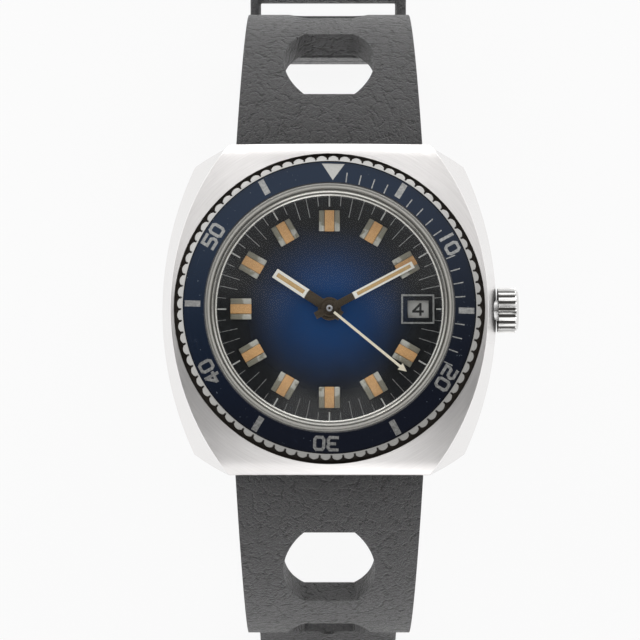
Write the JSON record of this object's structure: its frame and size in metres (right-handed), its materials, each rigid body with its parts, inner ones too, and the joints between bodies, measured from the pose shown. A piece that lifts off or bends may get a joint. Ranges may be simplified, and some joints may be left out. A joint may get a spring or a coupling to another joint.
{
  "type": "cushion case watch",
  "caption": "Wristwatch with a faceted cushion case, turning timing bezel, domed crystal, date dial and perforated rubber strap with pin buckle.",
  "frame": {"origin": "middle of the case back's flat outer face, on the axis of the hands", "axes": "+Z out of the crystal, +Y to twelve o'clock, +X to the crown at three o'clock"},
  "size_m": [0.0417, 0.123, 0.0757],
  "materials": {
    "polished_steel": "polished and brushed stainless steel",
    "brushed_steel": "fine brushed stainless steel",
    "insert_enamel": "navy blue enamel on a thin steel ring",
    "acrylic": "clear domed acrylic",
    "dial_lacquer": "glossy dark blue lacquer, darker towards the edge",
    "marker_metal": "frosted silver",
    "lume": "matte aged lume",
    "hand_paint": "off-white lacquer",
    "cream_paint": "cream lacquer",
    "date_paint": "pale grey matte paint",
    "movement_metal": "nickel-plated and plain brass",
    "movement_steel": "ground steel",
    "seal_rubber": "smooth black seal",
    "strap_rubber": "black rubber embossed with a leather grain"
  },
  "bodies": {
    "case": {"mid_case": "polished_steel", "case_back": "brushed_steel", "case_back_gasket": "seal_rubber", "crown_tube": "brushed_steel", "crystal": "acrylic", "tension_ring": "polished_steel", "bezel_snap_ring": "movement_steel", "bezel_click_spring": "movement_steel", "movement_ring": "movement_metal", "dial": "dial_lacquer", "hour_markers": "marker_metal", "marker_lume": "lume", "date_frame": "marker_metal", "main_plate": "movement_metal", "train_bridge": "movement_metal", "balance_cock": "movement_metal", "rotor_screw": "movement_steel", "bridge_screws": "movement_steel", "spring_bar_12": "brushed_steel", "spring_bar_6": "brushed_steel"},
    "bezel": {"bezel_ring": "polished_steel", "bezel_insert": "insert_enamel"},
    "crown_slide": {"crown_gasket": "seal_rubber"},
    "crown": {"crown": "polished_steel", "winding_stem": "movement_steel"},
    "minute": {"minute_hand": "hand_paint", "minute_hand_lume": "lume", "cannon_pinion": "movement_steel", "centre_wheel": "movement_metal"},
    "hour": {"hour_hand": "hand_paint", "hour_hand_lume": "lume", "hour_wheel": "movement_metal"},
    "seconds": {"seconds_hand": "cream_paint", "seconds_wheel": "movement_metal"},
    "motion": {"minute_wheel": "movement_metal"},
    "third": {"third_wheel": "movement_metal"},
    "escape": {"escape_wheel": "movement_steel"},
    "barrel": {"mainspring_barrel": "movement_metal"},
    "fork": {"pallet_fork": "movement_steel"},
    "balance": {"balance_wheel": "movement_metal"},
    "date": {"date_disc": "date_paint"},
    "winder": {"rotor": "movement_steel"},
    "upper_strap": {"strap_12": "strap_rubber", "fixed_keeper": "strap_rubber", "buckle_bar": "brushed_steel"},
    "lower_strap": {"strap_6": "strap_rubber"},
    "keeper": {"floating_keeper": "strap_rubber"},
    "buckle": {"buckle_frame": "brushed_steel"},
    "tongue": {"buckle_tongue": "brushed_steel"}
  },
  "joints": [
    {"name": "bezel_turn", "type": "hinge", "parent": "case", "child": "bezel", "pos_m": [0, 0, 0.01], "axis": [0, 0, 1], "continuous": true},
    {"name": "crown_pull", "type": "slide", "parent": "case", "child": "crown_slide", "axis": [1, 0, 0], "range_m": [0, 0.0015]},
    {"name": "crown_turn", "type": "hinge", "parent": "crown_slide", "child": "crown", "pos_m": [0.02, 0, 0.00494], "axis": [1, 0, 0], "continuous": true},
    {"name": "seconds_turn", "type": "hinge", "parent": "case", "child": "seconds", "pos_m": [0, 0, 0.008], "axis": [0, 0, -1], "continuous": true},
    {"name": "minute_turn", "type": "hinge", "parent": "case", "child": "minute", "pos_m": [0, 0, 0.008], "axis": [0, 0, -1], "continuous": true},
    {"name": "hour_turn", "type": "hinge", "parent": "case", "child": "hour", "pos_m": [0, 0, 0.008], "axis": [0, 0, -1], "continuous": true},
    {"name": "motion_turn", "type": "hinge", "parent": "case", "child": "motion", "pos_m": [0.00276, 0.00231, 0], "axis": [0, 0, -1], "continuous": true},
    {"name": "third_turn", "type": "hinge", "parent": "case", "child": "third", "pos_m": [-0.00087, 0.00493, 0], "axis": [0, 0, -1], "continuous": true},
    {"name": "escape_turn", "type": "hinge", "parent": "case", "child": "escape", "pos_m": [-0.00518, 0.00045, 0], "axis": [0, 0, -1], "continuous": true},
    {"name": "barrel_turn", "type": "hinge", "parent": "case", "child": "barrel", "pos_m": [0.00166, -0.00618, 0], "axis": [0, 0, -1], "continuous": true},
    {"name": "date_turn", "type": "hinge", "parent": "case", "child": "date", "pos_m": [0, 0, 0.007], "axis": [0, 0, -1], "continuous": true},
    {"name": "winder_turn", "type": "hinge", "parent": "case", "child": "winder", "pos_m": [0, 0, 0.002], "axis": [0, 0, 1], "continuous": true},
    {"name": "fork_swing", "type": "hinge", "parent": "case", "child": "fork", "pos_m": [-0.00547, -0.00226, 0], "axis": [0, 0, 1], "range_deg": [-4, 4]},
    {"name": "balance_swing", "type": "hinge", "parent": "case", "child": "balance", "pos_m": [-0.00587, -0.00587, 0], "axis": [0, 0, 1], "range_deg": [-135, 135], "stiffness_Nm_per_rad": 0.000001},
    {"name": "upper_strap_hinge", "type": "hinge", "parent": "case", "child": "upper_strap", "pos_m": [0, 0.01708, 0.0025], "axis": [1, 0, 0], "range_deg": [-4, 6]},
    {"name": "lower_strap_hinge", "type": "hinge", "parent": "case", "child": "lower_strap", "pos_m": [0, -0.01708, 0.0025], "axis": [-1, 0, 0], "range_deg": [-4, 6]},
    {"name": "keeper_slide", "type": "slide", "parent": "upper_strap", "child": "keeper", "axis": [0, -0.0698, 0.9976], "range_m": [0, 0.0042]},
    {"name": "buckle_hinge", "type": "hinge", "parent": "upper_strap", "child": "buckle", "pos_m": [0, 0.04045, -0.05192], "axis": [1, 0, 0], "range_deg": [-25, 25]},
    {"name": "tongue_hinge", "type": "hinge", "parent": "buckle", "child": "tongue", "pos_m": [0, 0.04045, -0.05192], "axis": [1, 0, 0], "range_deg": [0, 60]}
  ],
  "couplings": [
    {"joint": "minute_turn", "follows": "seconds_turn", "ratio": 0.016667},
    {"joint": "hour_turn", "follows": "seconds_turn", "ratio": 0.0013889},
    {"joint": "motion_turn", "follows": "seconds_turn", "ratio": -0.0055556},
    {"joint": "third_turn", "follows": "seconds_turn", "ratio": -0.13333},
    {"joint": "escape_turn", "follows": "seconds_turn", "ratio": -12},
    {"joint": "barrel_turn", "follows": "seconds_turn", "ratio": -0.002381},
    {"joint": "date_turn", "follows": "seconds_turn", "ratio": 0.000022401}
  ]
}
